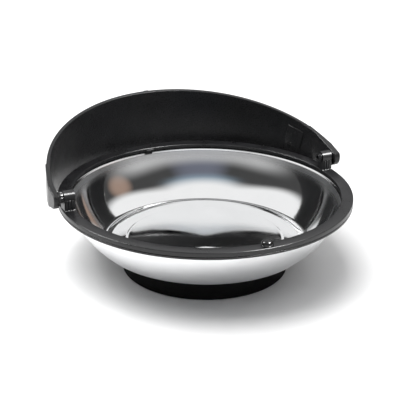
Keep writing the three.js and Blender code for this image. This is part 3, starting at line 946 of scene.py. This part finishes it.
class Sky:
    """The world's node tree: shapes of light by direction, with soft edges."""

    def __init__(self, world):
        self.tree = world.node_tree
        self.direction = self.node("ShaderNodeTexCoord").outputs["Generated"]
        self.height = self.node("ShaderNodeSeparateXYZ", self.direction).outputs["Z"]

    def node(self, kind, *sources, **settings):
        made = self.tree.nodes.new(kind)
        for key, value in settings.items():
            setattr(made, key, value)
        for i, source in enumerate(sources):
            if isinstance(source, (int, float, tuple)):
                made.inputs[i].default_value = source
            else:
                self.tree.links.new(source, made.inputs[i])
        return made

    def calc(self, operation, *sources):
        return self.node("ShaderNodeMath", *sources, operation=operation).outputs[0]

    def dot(self, direction, axis):
        return self.node("ShaderNodeVectorMath", direction, axis, operation="DOT_PRODUCT").outputs["Value"]

    def along(self, azimuth):
        """Cosine between the direction seen from above and an azimuth to the right of the camera."""
        turn = CAMERA_AZIMUTH + math.radians(azimuth)
        flat = self.node("ShaderNodeVectorMath", self.direction, (1.0, 1.0, 0.0), operation="MULTIPLY")
        unit = self.node("ShaderNodeVectorMath", flat.outputs[0], operation="NORMALIZE")
        axis = (math.sin(turn), -math.cos(turn), 0.0)
        return self.dot(unit.outputs[0], axis)

    def smooth(self, source, start, end, low=0.0, high=1.0):
        """A number that goes softly from low to high as the source goes from start to end."""
        made = self.node(
            "ShaderNodeMapRange", source, start, end, low, high, interpolation_type="SMOOTHSTEP")
        return made.outputs["Result"]

    def mix(self, share, first, second):
        made = self.node("ShaderNodeMix", data_type="RGBA")
        sockets = (made.inputs["Factor"], made.inputs[6], made.inputs[7])
        for socket, source in zip(sockets, (share, first, second)):
            if isinstance(source, tuple):
                socket.default_value = (*source, 1)
            else:
                self.tree.links.new(source, socket)
        return made.outputs[2]

    def above(self, edge, softness):
        """1 above an edge given as the sine of its elevation, 0 below it."""
        gap = self.calc("SUBTRACT", self.height, edge)
        width = math.radians(softness)
        return self.smooth(gap, -width, width)


def grey(value):
    return (value, value, value)


def studio_world():
    """A white tent, open towards the camera, with a dim room under its edge and a pale table below."""
    world = bpy.data.worlds.new("studio")
    bpy.context.scene.world = world
    world.use_nodes = True
    sky = Sky(world)
    front = sky.along(FRONT_AZIMUTH)
    tent_edge = sky.smooth(front, *EDGE_FALL, sine(TENT_EDGE_BACK), sine(TENT_EDGE_FRONT))
    table_edge = sky.smooth(front, *EDGE_FALL, sine(TABLE_TOP_BACK), sine(TABLE_TOP_FRONT))

    table = sky.calc("SUBTRACT", 1.0, sky.above(table_edge, TABLE_SOFTNESS))
    table = sky.calc("MULTIPLY", table, sky.smooth(front, cosine(TABLE_REACH), 0.6))
    table = sky.calc("MULTIPLY", table, sky.smooth(sky.height, *map(sine, TABLE_FOOT)))
    color = sky.mix(sky.smooth(front, cosine(HAZE_REACH), 1.0), grey(ROOM_LIGHT), HAZE_LIGHT)
    color = sky.mix(spot(sky, SPOT_PLACE, SPOT_SIZE), color, SPOT_LIGHT)
    color = sky.mix(table, color, grey(TABLE_LIGHT))

    tinted = sky.above(sky.calc("SUBTRACT", tent_edge, math.radians(TENT_SOFTNESS)), TENT_SOFTNESS)
    tinted = sky.calc("MULTIPLY", tinted, sky.smooth(front, cosine(TINT_REACH), 1.0))
    color = sky.mix(tinted, color, TINT_LIGHT)
    color = sky.mix(sky.above(tent_edge, TENT_SOFTNESS), color, grey(TENT_LIGHT))
    sky.tree.links.new(color, world.node_tree.nodes["Background"].inputs["Color"])


def spot(sky, place, size):
    """A soft round patch at (azimuth, elevation)."""
    turn = CAMERA_AZIMUTH + math.radians(place[0])
    rise = math.radians(place[1])
    axis = (math.sin(turn) * math.cos(rise), -math.cos(turn) * math.cos(rise), math.sin(rise))
    return sky.smooth(sky.dot(sky.direction, axis), cosine(size), 1.0)


def make_lights():
    """An overhead light for everything, and two lamps that light only the black plastics."""
    centre = (0, 0, 0.03)
    area_light("overhead", (-0.35, 0.12, 1.35), centre, (1.2, 1.2), 30, seen_in_gloss=False)
    key = area_light("key", (0.38, -0.38, 0.875), centre, (0.26, 0.26), 26)
    plastics = bpy.data.collections.new("plastics")
    for piece in bpy.data.objects:
        if piece.type == "MESH" and piece.material_slots and piece.material_slots[0].material in PLASTICS:
            plastics.objects.link(piece)
    key.light_linking.receiver_collection = plastics
    side = area_light("side", (-0.60, 0.40, 0.72), centre, (0.3, 0.3), 10)
    side.light_linking.receiver_collection = plastics
    studio_world()


make_camera()
make_bowl()
make_rim()
make_clamp_ring()
make_bumper()
make_boot()
make_guard()
make_plain_pin()
make_snap_pin()
make_floor()
make_lights()

HIDDEN_STACK = {
    "magnet_pot": PLATED_STEEL, "weld_stud": PLATED_STEEL, "flat_washer": PLATED_STEEL,
    "lock_washer": PLATED_STEEL, "stud_nut": PLATED_STEEL, "magnet_ring": FERRITE, "bowl_pad": FOAM,
}
for name, material in HIDDEN_STACK.items():
    mesh = frame["nodes"][name].data
    mesh.materials.clear()
    mesh.materials.append(material)

bpy.context.scene.view_settings.view_transform = "Standard"
